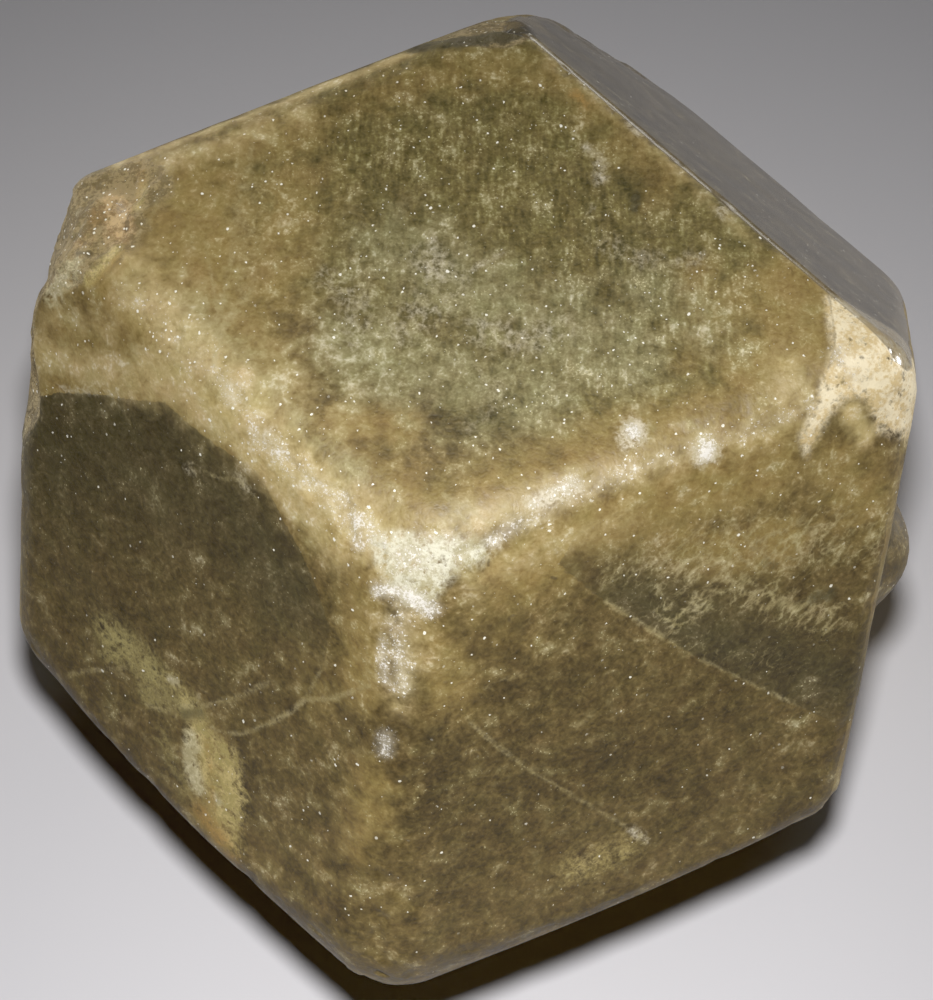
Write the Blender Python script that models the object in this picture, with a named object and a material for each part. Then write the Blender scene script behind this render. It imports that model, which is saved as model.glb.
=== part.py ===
"""A water-worn garnet crystal: one rhombic dodecahedron, 56 mm across opposite faces.

It lies on one of its twelve faces, with the opposite face on top. The origin is the point of the
resting face below the crystal's centre. Lengths are in millimetres and become metres at the end.
"""
import math

import bmesh
import bpy
import numpy as np
from mathutils import Matrix, Vector, noise

MM = 0.001
HALF_WIDTH = 28.0          # from the centre to an ideal face
GRID_CELLS = 16            # cells along each side of a rhombus
EDGE_CROWDING = 0.62       # 0 spreads the grid evenly, 1 crowds it fully towards the edges

# Each face grew to its own distance: share of HALF_WIDTH, by direction (x right, y back, z up)
SLANT = math.sqrt(0.5)
FACES = {
    "top": ((0, 0, 1), 1.002),
    "front_left": ((-0.5, -SLANT, 0.5), 1.001),
    "front_right": ((0.5, -SLANT, 0.5), 1.014),
    "back_right": ((0.491, 0.694, 0.527), 0.978),
    "back_left": ((-0.5, SLANT, 0.5), 1.014),
    "left": ((-1, 0, 0), 1.036),
    "right": ((1, 0, 0), 1.014),
    "under_front_left": ((-0.5, -SLANT, -0.5), 1.002),
    "under_front_right": ((0.5, -SLANT, -0.5), 1.034),
    "under_back_right": ((0.5, SLANT, -0.5), 1.017),
    "under_back_left": ((-0.5, SLANT, -0.5), 1.0),
    "resting": ((0, 0, -1), 1.0),
}

# Wear: radius of the rounded edges, and places where it is larger or smaller.
# A place is a line from one point to another, above the resting face, how far it reaches, and its radius.
EDGE_RADIUS = 1.9
EDGE_RADIUS_SWING = 0.22   # share by which the radius wanders along an edge
EDGE_SWING_LENGTH = 9.0
WORN_PLACES = [
    ((0, -19.8, 56), (0, -19.8, 56), 7.0, 3.6),        # front corner of the top face
    ((0, -39.6, 28), (0, -39.6, 28), 11.0, 3.8),       # foremost corner
    ((28, -0.5, 56), (28, -0.5, 56), 7.0, 3.2),        # right corner of the top face
    ((28, -19.8, 28), (28, -19.8, 28), 8.0, 2.4),      # lower right corner
    ((-28, -19.8, 28), (-28, -19.8, 28), 6.0, 2.2),    # lower left corner
    ((0, 39.6, 28), (0, 39.6, 28), 9.0, 3.2),          # rearmost corner
    ((1.0, 17.5, 56), (24.5, 1.5, 56), 4.5, 0.8),      # back right edge of the top face, still sharp
]

# Flat spalls: a point on the cut, its direction, and the radius worn on its rim
SPALLS = [
    ((-25.4, 0.0, 56.0), (-0.95, 0.04, 0.29), 0.7),      # upper left corner, broken away
    ((-23.9, 0.6, 56.0), (-0.68, -0.22, 0.70), 0.6),     # slope of the break, towards the top face
    ((-2.8, 16.6, 56.06), (-0.17, 0.62, 0.77), 0.4),     # narrow strip at the back corner of the top
    ((0.2, 28.6, 42.3), (0.33, 0.82, 0.47), 1.0),        # rearmost corner
    ((24.0, 27.5, 25.0), (0.86, 0.50, -0.08), 0.8),      # low on the back right
    ((-16.0, -31.5, 20.5), (-0.42, -0.72, -0.55), 1.2),  # under the front left edge
]

# Shell-shaped hollows of the broken corner and nicks on edges: centre of the ball that scoops them,
# and its radius
SCOOPS = [
    ((-30.0, 2.5, 80.0), 26.1),       # outer shell ledge of the broken corner
    ((-31.4, 2.0, 66.0), 13.6),       # inner, deeper shell ledge
    ((-31.0, -2.0, 62.5), 9.6),       # bite between the two
    ((-35.8, -9.2, 46.0), 8.9),       # nick in the left edge, below the broken corner
    ((6.5, 33.5, 60.5), 14.5),        # shallow shell on the back edge
    ((34.0, 17.5, 14.0), 8.6),        # nick low on the right
    ((-17.0, 33.0, 12.0), 9.5),       # nick low at the back
    ((10.0, -42.0, 12.0), 10.6),      # nick under the front right edge
]

# Lumps grown on faces: foot of the lump, the way it stands, its height, and its half-lengths along x, y and z
LUMPS = [
    ((28.4, -4.9, 36.0), (1, 0, 0), 2.3, (4.0, 3.8, 5.4)),
    ((28.4, -2.6, 30.6), (1, 0, 0), 1.3, (4.0, 3.4, 4.0)),
]
DOME_SHARPNESS = 1.1       # 0.5 is half a ball, above 1 is a mound with a soft foot

# Growth ledges: low steps that cross a hidden face. Face, direction across the step, where it runs,
# its height and the width of its slope
LEDGES = [
    ("under_back_left", (0.55, 0.2, -0.8), 12.5, 0.6, 1.8),
    ("left", (0.0, 0.77, -0.64), 3.5, 0.5, 1.6),
    ("right", (0.0, 0.55, -0.83), 9.0, 0.5, 1.6),
]

# Where the grid is split once more: centre of the place and how far it reaches
FINE_PLACES = [
    ((-25.0, -1.5, 53.5), 9.5),       # broken corner
    ((28.0, -4.4, 34.0), 8.0),        # lumps on the right face
    ((28.0, -4.4, 34.0), 6.0),        # and once more
    ((-1.5, 17.5, 56.0), 5.0),        # strip at the back corner of the top
]

PIT_DEPTH = 0.45           # roughness of broken surfaces
PIT_LENGTH = 2.3
STONE_COLOUR = (0.19, 0.145, 0.062, 1.0)
STONE_ROUGHNESS = 0.42


def centred(place):
    """Turn a place measured above the resting face into one measured from the centre."""
    x, y, z = place
    return np.array((x, y, z - HALF_WIDTH))


def rhombic_dodecahedron(bm):
    """A cube with a pyramid on each side; the two triangles across a cube edge make one flat rhombus."""
    cube_side = math.sqrt(2) * HALF_WIDTH
    bmesh.ops.create_cube(bm, size=cube_side)
    cube_edges = list(bm.edges)
    bmesh.ops.poke(bm, faces=list(bm.faces), offset=cube_side / 2)
    bmesh.ops.dissolve_edges(bm, edges=cube_edges, use_verts=False)
    bmesh.ops.rotate(bm, verts=list(bm.verts), cent=(0, 0, 0), matrix=Matrix.Rotation(math.radians(45), 3, "Y"))
    return [(face.normal.copy(), long_diagonal(face)) for face in bm.faces]


def long_diagonal(face):
    """Unit vector along the longer diagonal of a rhombus."""
    corners = [vert.co for vert in face.verts]
    diagonals = [corners[2] - corners[0], corners[3] - corners[1]]
    return max(diagonals, key=lambda line: line.length).normalized()


def crowd_towards_edges(points, rhombi):
    """Slide the grid inside each rhombus so that its lines stand closer near the rhombus's edges."""
    normals = np.array([normal for normal, _ in rhombi])
    longs = np.array([diagonal for _, diagonal in rhombi])
    shorts = np.cross(normals, longs)
    home = np.argmax(points @ normals.T, axis=1)
    half_long, half_short = HALF_WIDTH, HALF_WIDTH * SLANT
    along = np.einsum("ij,ij->i", points, longs[home]) / half_long
    across = np.einsum("ij,ij->i", points, shorts[home]) / half_short
    first = crowd((1 + along + across) / 2)
    second = crowd((1 + along - across) / 2)
    new_along = (first + second - 1) * half_long
    new_across = (first - second) * half_short
    return HALF_WIDTH * normals[home] + new_along[:, None] * longs[home] + new_across[:, None] * shorts[home]


def crowd(share):
    return share - EDGE_CROWDING * np.sin(2 * np.pi * share) / (2 * np.pi)


def sample_noise(points, length, offset):
    """Smooth noise between about -1 and 1, with features about `length` across."""
    shift = Vector((offset, -offset, offset / 2))
    return np.array([noise.noise(Vector(point) / length + shift) for point in points])


def edge_radius(points):
    """Radius of wear for each point of the ideal surface."""
    radius = EDGE_RADIUS * (1 + EDGE_RADIUS_SWING * sample_noise(points, EDGE_SWING_LENGTH, 3.1))
    for start, end, reach, worn in WORN_PLACES:
        distance = distance_to_line(points, centred(start), centred(end))
        share = np.exp(-((distance / reach) ** 2))
        radius = radius + (worn - radius) * share
    return radius


def distance_to_line(points, start, end):
    """Distance from each point to the stretch between start and end, which may be one point."""
    stretch = end - start
    length_squared = max(stretch @ stretch, 1e-9)
    share = np.clip((points - start) @ stretch / length_squared, 0, 1)
    return np.linalg.norm(points - start - share[:, None] * stretch, axis=1)


def worn_form(points, radius, roughness):
    """Signed height of points over the worn crystal: below zero inside, above zero outside."""
    normals = np.array([normal for normal, _ in FACES.values()])
    distances = np.array([share for _, share in FACES.values()]) * HALF_WIDTH
    over = points @ normals.T - distances
    for face, across, start, height, slope in LEDGES:
        index = list(FACES).index(face)
        over[:, index] += height * smooth_step((points @ np.array(across) - start) / slope)
    rounded = np.linalg.norm(np.maximum(over + radius[:, None], 0), axis=1) - radius
    for place, direction, rim in SPALLS:
        toward = np.array(direction) / np.linalg.norm(direction)
        cut = (points - centred(place)) @ toward + roughness
        rounded = soft_maximum(rounded, cut, rim)
    for place, ball in SCOOPS:
        cut = ball - np.linalg.norm(points - centred(place), axis=1) + roughness
        rounded = soft_maximum(rounded, cut, 0.3)
    return rounded


def smooth_step(share):
    clipped = np.clip(share, 0, 1)
    return clipped * clipped * (3 - 2 * clipped)


def soft_maximum(first, second, blend):
    """The larger of two heights, rounded where they cross."""
    overlap = np.maximum(blend - np.abs(first - second), 0)
    return np.maximum(first, second) + overlap * overlap / (4 * blend)


def push_to_surface(points):
    """Move each point along its line from the centre until it lies on the worn surface."""
    radius = edge_radius(points)
    roughness = PIT_DEPTH * sample_noise(points, PIT_LENGTH, 7.7)
    rays = points / np.linalg.norm(points, axis=1)[:, None]
    near = np.full(len(points), 0.6 * HALF_WIDTH)
    far = np.full(len(points), 1.6 * HALF_WIDTH)
    for _ in range(40):
        middle = (near + far) / 2
        outside = worn_form(rays * middle[:, None], radius, roughness) > 0
        far = np.where(outside, middle, far)
        near = np.where(outside, near, middle)
    return rays * ((near + far) / 2)[:, None]


def raise_lumps(surface):
    """Swell the surface into low domes where smaller growths stand on a face."""
    for place, direction, height, half_lengths in LUMPS:
        stretched = (surface - centred(place)) / np.array(half_lengths)
        dome = np.maximum(1 - np.sum(stretched * stretched, axis=1), 0) ** DOME_SHARPNESS
        surface = surface + height * dome[:, None] * np.array(direction)
    return surface


def stone_material():
    material = bpy.data.materials.new("garnet")
    material.use_nodes = True
    shader = material.node_tree.nodes["Principled BSDF"]
    shader.inputs["Base Color"].default_value = STONE_COLOUR
    shader.inputs["Roughness"].default_value = STONE_ROUGHNESS
    shader.inputs["Metallic"].default_value = 0.0
    material.diffuse_color = STONE_COLOUR
    return material


def split_fine_places(bm):
    """Split the grid once more where small forms stand."""
    for place, reach in FINE_PLACES:
        centre = Vector(centred(place))
        near = [edge for edge in bm.edges if (edge_middle(edge) - centre).length < reach]
        bmesh.ops.subdivide_edges(bm, edges=near, cuts=1, use_grid_fill=True)


def edge_middle(edge):
    return (edge.verts[0].co + edge.verts[1].co) / 2


def vertex_places(bm):
    return np.array([vert.co for vert in bm.verts], dtype=float)


def build_crystal():
    bm = bmesh.new()
    rhombi = rhombic_dodecahedron(bm)
    bmesh.ops.subdivide_edges(bm, edges=list(bm.edges), cuts=GRID_CELLS - 1, use_grid_fill=True)
    for vert, place in zip(bm.verts, crowd_towards_edges(vertex_places(bm), rhombi)):
        vert.co = Vector(place)
    split_fine_places(bm)
    surface = raise_lumps(push_to_surface(vertex_places(bm)))
    height = surface[:, 2] + HALF_WIDTH
    surface[:, 2] = np.where(np.abs(height) < 1e-3, 0.0, height)
    for vert, place in zip(bm.verts, surface):
        vert.co = Vector(place) * MM
    bmesh.ops.triangulate(bm, faces=list(bm.faces), quad_method="SHORT_EDGE")
    bmesh.ops.recalc_face_normals(bm, faces=list(bm.faces))
    mesh = bpy.data.meshes.new("garnet_crystal")
    bm.to_mesh(mesh)
    bm.free()
    mesh.shade_smooth()
    mesh.set_sharp_from_angle(angle=math.radians(24))
    crystal = bpy.data.objects.new("garnet_crystal", mesh)
    crystal.data.materials.append(stone_material())
    bpy.context.scene.collection.objects.link(crystal)
    return crystal


for old in list(bpy.data.objects):
    bpy.data.objects.remove(old)
build_crystal()
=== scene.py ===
import math

import bmesh
import bpy
import numpy as np
from mathutils import Matrix, Vector, noise


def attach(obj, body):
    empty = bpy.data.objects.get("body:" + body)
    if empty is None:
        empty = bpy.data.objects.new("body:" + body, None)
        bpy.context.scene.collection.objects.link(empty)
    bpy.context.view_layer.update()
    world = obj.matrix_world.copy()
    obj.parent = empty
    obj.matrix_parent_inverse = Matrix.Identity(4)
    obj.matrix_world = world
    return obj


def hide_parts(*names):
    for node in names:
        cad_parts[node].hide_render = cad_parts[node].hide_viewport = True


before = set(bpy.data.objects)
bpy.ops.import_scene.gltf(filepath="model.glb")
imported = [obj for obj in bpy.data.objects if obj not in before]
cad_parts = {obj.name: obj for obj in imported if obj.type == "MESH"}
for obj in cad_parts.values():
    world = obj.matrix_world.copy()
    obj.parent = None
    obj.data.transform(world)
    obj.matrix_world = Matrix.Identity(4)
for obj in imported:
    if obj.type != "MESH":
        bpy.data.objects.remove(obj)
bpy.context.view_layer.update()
print("frame loaded")

mm = 0.001
tiny = 1e-9    # keeps a division possible


# an sRGB hex colour as linear light
def linearColour(hexColour):
    parts = [int(hexColour[i:i + 2], 16) / 255 for i in (1, 3, 5)]
    return tuple(c / 12.92 if c <= 0.04045 else ((c + 0.055) / 1.055) ** 2.4 for c in parts) + (1.0,)


# adds one node and hands back one of its outputs: an input that is a socket is linked, anything else is set
def addNode(tree, kind, inputs=None, output=0, **settings):
    node = tree.nodes.new("ShaderNode" + kind)
    for name, value in settings.items():
        setattr(node, name, value)
    for name, value in (inputs or {}).items():
        if isinstance(value, bpy.types.NodeSocket):
            tree.links.new(value, node.inputs[name])
        else:
            node.inputs[name].default_value = value
    return None if output is None else node.outputs[output]


# camera: from above and in front, a little right of the middle
camera = {
    "place": (18.37, -83.23, 207.61),    # mm
    "across": (0.982, 0.1882, -0.0171),
    "upward": (-0.164, 0.8937, 0.4176),
    "lens": 101.24,
    "sensor": 36.0,
    "nearest": 0.01,                     # m
    "farthest": 20,
}


def addCamera():
    lensData = bpy.data.cameras.new("camera")
    lensData.lens = camera["lens"]
    lensData.sensor_width = camera["sensor"]
    lensData.clip_start = camera["nearest"]
    lensData.clip_end = camera["farthest"]
    across = Vector(camera["across"]).normalized()
    upward = Vector(camera["upward"])
    upward = (upward - across * upward.dot(across)).normalized()
    towardsEye = across.cross(upward)
    turn = Matrix((across, upward, towardsEye)).transposed().to_4x4()
    cameraObject = bpy.data.objects.new("camera", lensData)
    cameraObject.matrix_world = Matrix.Translation(Vector(camera["place"]) * mm) @ turn
    bpy.context.scene.collection.objects.link(cameraObject)
    bpy.context.scene.camera = cameraObject


addCamera()
print("camera set")

# lights: a small soft key beside the lens, a wide weak one behind, two that light only the stone and lift
# its far sides out of the dark, and a low grey sky (places, aims and sizes in mm)
lights = {
    "key": {"place": (16, -64, 217), "aim": (10, -76, 0), "size": 14, "watts": 0.142, "spread": 92},
    "fill": {"place": (60, 320, 40), "aim": (0, 0, 25), "size": 140, "watts": 0.12, "spread": 180},
    "farLeft": {"place": (-240, 150, 36), "aim": (0, 0, 28), "size": 70, "watts": 0.065, "spread": 60},
    "farRight": {"place": (215, 115, 36), "aim": (0, 0, 28), "size": 70, "watts": 0.04, "spread": 60},
    "sky": {"colour": "#dfe2ea", "strength": 0.025},
}
stoneCollection = bpy.data.collections.new("stone")


def addLight(name, stoneOnly=False):
    choice = lights[name]
    lamp = bpy.data.lights.new(name, "AREA")
    lamp.shape = "DISK"
    lamp.size = choice["size"] * mm
    lamp.energy = choice["watts"]
    lamp.spread = math.radians(choice["spread"])
    place, aim = Vector(choice["place"]) * mm, Vector(choice["aim"]) * mm
    turn = (aim - place).to_track_quat("-Z", "Y").to_matrix().to_4x4()
    lampObject = bpy.data.objects.new(name, lamp)
    lampObject.matrix_world = Matrix.Translation(place) @ turn
    bpy.context.scene.collection.objects.link(lampObject)
    if stoneOnly:
        lampObject.light_linking.receiver_collection = stoneCollection


def addSky():
    sky = bpy.data.worlds.new("sky")
    sky.use_nodes = True
    background = sky.node_tree.nodes["Background"]
    background.inputs["Color"].default_value = linearColour(lights["sky"]["colour"])
    background.inputs["Strength"].default_value = lights["sky"]["strength"]
    bpy.context.scene.world = sky


addLight("key")
addLight("fill")
addLight("farLeft", stoneOnly=True)
addLight("farRight", stoneOnly=True)
addSky()

# the deepest shadows close up, as in a camera: brightness in and out at the foot of the tone curve
shadowCurve = [(0.015, 0.003), (0.029, 0.026)]


def setTone():
    view = bpy.context.scene.view_settings
    view.view_transform = "Standard"
    view.use_curve_mapping = True
    view.curve_mapping.extend = "EXTRAPOLATED"
    points = view.curve_mapping.curves[3].points    # the curve for all three channels
    for brightness, shown in shadowCurve:
        points.new(brightness, shown)
    for point in points:
        point.handle_type = "VECTOR"
    view.curve_mapping.update()


setTone()
print("lights set")

# the crystal's shape, in mm: twelve faces, each at its own distance, with worn edges and broken places
slant = math.sqrt(0.5)
crystal = {
    "halfWidth": 28.0,         # from the centre to an ideal face
    "cells": 48,               # along each side of a rhombus
    "fineCells": 3,            # each of those again, on the faces that are painted line by line
    "drawnFaces": ("top", "frontLeft", "frontRight"),
    "sameWay": 0.9,            # how closely a cell has to face as its face does, 1 being exactly
    "crowding": 0.3,           # how far the cells gather towards the edges
    "faces": {                 # direction (x right, y back, z up) and share of halfWidth
        "top": ((0, 0, 1), 1.002),
        "frontLeft": ((-0.5, -slant, 0.5), 1.001),
        "frontRight": ((0.5, -slant, 0.5), 1.014),
        "backRight": ((0.491, 0.694, 0.527), 0.978),
        "backLeft": ((-0.5, slant, 0.5), 1.014),
        "left": ((-1, 0, 0), 1.036),
        "right": ((1, 0, 0), 1.014),
        "underFrontLeft": ((-0.5, -slant, -0.5), 1.002),
        "underFrontRight": ((0.5, -slant, -0.5), 1.034),
        "underBackRight": ((0.5, slant, -0.5), 1.017),
        "underBackLeft": ((-0.5, slant, -0.5), 1.0),
        "resting": ((0, 0, -1), 1.0),
    },
    "edgeRadius": 1.9,
    "edgeSwing": (0.22, 9.0),  # share by which the radius wanders, and over what length
    "edgeChips": (0.3, 1.6),   # how much rounder small chips make an edge, and their length
    "chipsFrom": (0.18, 0.3),  # where along the noise a chip starts, and how soon it is whole
    # a line from one point to another, above the resting face, its reach and the radius there
    "wornPlaces": [
        ((-26, -21.2, 28), (-3, -37.5, 28), 4, 0.8),
        ((3, -37.5, 28), (26, -21.2, 28), 4, 0.8),
        ((28, -18, 30.5), (28, -3, 51.8), 4, 0.9),
        ((0, -19.8, 56), (0, -19.8, 56), 7, 3.6),
        ((0, -39.6, 28), (0, -39.6, 28), 11, 3.8),
        ((28, -0.5, 56), (28, -0.5, 56), 7, 3.2),
        ((28, -19.8, 28), (28, -19.8, 28), 5, 1.6),
        ((-28, -19.8, 28), (-28, -19.8, 28), 6, 2.2),
        ((0, 39.6, 28), (0, 39.6, 28), 9, 3.2),
        ((1, 17.5, 56), (24.5, 1.5, 56), 4.5, 0.8),
    ],
    # flat spalls: a point, the way the cut faces, and the radius worn on its rim
    "spalls": [
        ((-25.4, 0, 56), (-0.95, 0.04, 0.29), 0.7),
        ((-23.9, 0.6, 56), (-0.68, -0.22, 0.70), 0.6),
        ((-2.8, 16.6, 56.06), (-0.17, 0.62, 0.77), 0.4),
        ((0.2, 28.6, 42.3), (0.33, 0.82, 0.47), 1),
        ((24, 27.5, 25), (0.86, 0.50, -0.08), 0.8),
        ((-16, -31.5, 20.5), (-0.42, -0.72, -0.55), 1.2),
    ],
    # shell-shaped hollows: the ball that scoops each one
    "scoops": [
        ((-30, 2.5, 80), 26.1),
        ((-31.4, 2, 66), 13.6),
        ((-31, -2, 62.5), 9.6),
        ((-35.8, -9.2, 46), 8.9),
        ((6.5, 33.5, 60.5), 14.5),
        ((34, 17.5, 14), 8.6),
        ((-17, 33, 12), 9.5),
        ((10, -42, 12), 10.6),
    ],
    "scoopRim": 0.3,
    # lumps: foot, the way it stands, height, half-lengths
    "lumps": [
        ((28.4, -4.9, 35.6), (1, 0, 0), 1.9, (4.0, 3.8, 5.0)),
        ((28.4, -2.6, 30.6), (1, 0, 0), 1.3, (4.0, 3.4, 4.0)),
    ],
    "domeSharpness": 1.1,
    # growth ledges: face, direction across the step, where it runs, height, width of its slope
    "ledges": [
        ("underBackLeft", (0.55, 0.2, -0.8), 12.5, 0.6, 1.8),
        ("left", (0.0, 0.77, -0.64), 3.5, 0.5, 1.6),
        ("right", (0.0, 0.55, -0.83), 9.0, 0.5, 1.6),
    ],
    "pits": (0.45, 2.3),       # depth and length of the roughness of broken surfaces
    "finePits": (0.16, 0.8),
    "ripples": (0.05, 4.0),    # gentle waviness of every face, but not of the one that it rests on
    "restingSkin": 0.2,        # how far above that face the waves start
    "restingSlack": 0.02,      # what lies lower than this is set flat
    "searchFrom": (0.6, 1.6),  # shares of halfWidth between which the surface is looked for
    "searchSteps": 26,
    # what sets each run of noise apart
    "offsets": {"edge": 3.1, "chips": 5.3, "pits": 7.7, "finePits": 9.2, "ripples": 1.9},
}
halfWidth = crystal["halfWidth"]
faceNormals = np.array([normal for normal, _ in crystal["faces"].values()])
faceDistances = np.array([share for _, share in crystal["faces"].values()]) * halfWidth
faceNames = list(crystal["faces"])


# the shape is worked out about the crystal's middle
def centred(place):
    return np.array(place, dtype=float) - (0, 0, halfWidth)


def sampleNoise(points, length, name):
    offset = crystal["offsets"][name]
    shift = Vector((offset, -offset, offset / 2))
    return np.array([noise.noise(Vector(point) / length + shift) for point in points])


def smoothStep(share):
    clipped = np.clip(share, 0, 1)
    return clipped * clipped * (3 - 2 * clipped)


def softMaximum(first, second, blend):
    overlap = np.maximum(blend - np.abs(first - second), 0)
    return np.maximum(first, second) + overlap * overlap / (4 * blend)


# distance from each point to a run of straight stretches
def lineDistance(points, line):
    line = [np.array(place, dtype=float) for place in line]
    nearest = np.full(len(points), np.inf)
    for start, end in zip(line, line[1:]):
        stretch = end - start
        share = np.clip((points - start) @ stretch / max(stretch @ stretch, tiny), 0, 1)
        nearest = np.minimum(nearest, np.linalg.norm(points - start - share[:, None] * stretch, axis=1))
    return nearest


def edgeRadius(points):
    swing, length = crystal["edgeSwing"]
    radius = crystal["edgeRadius"] * (1 + swing * sampleNoise(points, length, "edge"))
    for start, end, reach, worn in crystal["wornPlaces"]:
        share = np.exp(-((lineDistance(points, [centred(start), centred(end)]) / reach) ** 2))
        radius = radius + (worn - radius) * share
    (chip, length), (start, slope) = crystal["edgeChips"], crystal["chipsFrom"]
    return radius + chip * smoothStep((sampleNoise(points, length, "chips") - start) / slope)


# signed height of points over the worn crystal, and which surfaces are broken ones
def wornForm(points, radius, roughness):
    over = points @ faceNormals.T - faceDistances
    for face, across, start, height, slope in crystal["ledges"]:
        over[:, faceNames.index(face)] += height * smoothStep((points @ np.array(across) - start) / slope)
    whole = np.linalg.norm(np.maximum(over + radius[:, None], 0), axis=1) - radius
    worn = whole
    for place, direction, rim in crystal["spalls"]:
        toward = np.array(direction) / np.linalg.norm(direction)
        worn = softMaximum(worn, (points - centred(place)) @ toward + roughness, rim)
    for place, ball in crystal["scoops"]:
        inside = ball - np.linalg.norm(points - centred(place), axis=1)
        worn = softMaximum(worn, inside + roughness, crystal["scoopRim"])
    return worn, worn - whole


# moves each point along its line from the middle to where it meets the worn crystal
def pushToSurface(points):
    radius = edgeRadius(points)
    depth, length = crystal["pits"]
    fineDepth, fineLength = crystal["finePits"]
    roughness = depth * sampleNoise(points, length, "pits")
    roughness = roughness + fineDepth * sampleNoise(points, fineLength, "finePits")
    rays = points / np.linalg.norm(points, axis=1)[:, None]
    near, far = (np.full(len(points), share * halfWidth) for share in crystal["searchFrom"])
    for _ in range(crystal["searchSteps"]):
        middle = (near + far) / 2
        outside = wornForm(rays * middle[:, None], radius, roughness)[0] > 0
        far = np.where(outside, middle, far)
        near = np.where(outside, near, middle)
    surface = rays * ((near + far) / 2)[:, None]
    broken = wornForm(surface, radius, roughness)[1]
    for place, direction, height, halfLengths in crystal["lumps"]:
        stretched = (surface - centred(place)) / np.array(halfLengths)
        dome = np.maximum(1 - np.sum(stretched * stretched, axis=1), 0) ** crystal["domeSharpness"]
        surface = surface + height * dome[:, None] * np.array(direction)
    rippleHeight, rippleLength = crystal["ripples"]
    ripple = rippleHeight * sampleNoise(points, rippleLength, "ripples")
    ripple = np.where(surface[:, 2] < crystal["restingSkin"] - halfWidth, 0, ripple)
    return surface + rays * ripple[:, None], broken


# a cube with a pyramid on each side: the triangles across each cube edge lie flat and make a rhombus
def rhombicDodecahedron(bm):
    cubeSide = math.sqrt(2) * halfWidth
    bmesh.ops.create_cube(bm, size=cubeSide)
    cubeEdges = list(bm.edges)
    bmesh.ops.poke(bm, faces=list(bm.faces), offset=cubeSide / 2)
    bmesh.ops.dissolve_edges(bm, edges=cubeEdges, use_verts=False)
    turn = Matrix.Rotation(math.radians(45), 3, "Y")    # so that one face lies on top
    bmesh.ops.rotate(bm, verts=list(bm.verts), cent=(0, 0, 0), matrix=turn)
    return [(face.normal.copy(), longDiagonal(face)) for face in bm.faces]


def longDiagonal(face):
    corners = [vert.co for vert in face.verts]
    diagonals = [corners[2] - corners[0], corners[3] - corners[1]]
    return max(diagonals, key=lambda line: line.length).normalized()


# slides the cells inside each rhombus so that they are narrower near its sides
def crowdCells(points, rhombi):
    normals = np.array([normal for normal, _ in rhombi])
    longs = np.array([diagonal for _, diagonal in rhombi])
    shorts = np.cross(normals, longs)
    home = np.argmax(points @ normals.T, axis=1)
    halfLong, halfShort = halfWidth, halfWidth * slant
    along = np.einsum("ij,ij->i", points, longs[home]) / halfLong
    across = np.einsum("ij,ij->i", points, shorts[home]) / halfShort
    first, second = (1 + along + across) / 2, (1 + along - across) / 2
    first = first - crystal["crowding"] * np.sin(2 * np.pi * first) / (2 * np.pi)
    second = second - crystal["crowding"] * np.sin(2 * np.pi * second) / (2 * np.pi)
    newAlong, newAcross = (first + second - 1) * halfLong, (first - second) * halfShort
    return halfWidth * normals[home] + newAlong[:, None] * longs[home] + newAcross[:, None] * shorts[home]


def vertexPlaces(bm):
    return np.array([vert.co for vert in bm.verts], dtype=float)


def makeCrystalMesh():
    bm = bmesh.new()
    rhombi = rhombicDodecahedron(bm)
    bmesh.ops.subdivide_edges(bm, edges=list(bm.edges), cuts=crystal["cells"] - 1, use_grid_fill=True)
    drawn = [Vector(crystal["faces"][name][0]) for name in crystal["drawnFaces"]]
    fine = [face for face in bm.faces if max(face.normal.dot(way) for way in drawn) > crystal["sameWay"]]
    edges = list({edge for face in fine for edge in face.edges})
    bmesh.ops.subdivide_edges(bm, edges=edges, cuts=crystal["fineCells"] - 1, use_grid_fill=True)
    surface, broken = pushToSurface(crowdCells(vertexPlaces(bm), rhombi))
    height = surface[:, 2] + halfWidth
    surface[:, 2] = np.where(height < crystal["restingSlack"], 0.0, height)
    for vert, place in zip(bm.verts, surface):
        vert.co = Vector(place) * mm
    bmesh.ops.recalc_face_normals(bm, faces=list(bm.faces))
    mesh = bpy.data.meshes.new("garnet crystal")
    bm.to_mesh(mesh)
    bm.free()
    mesh.shade_smooth()
    return mesh, surface, broken


crystalMesh, surfacePlaces, brokenAmount = makeCrystalMesh()
print("crystal shaped:", sum(len(face.vertices) - 2 for face in crystalMesh.polygons), "triangles")

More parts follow.
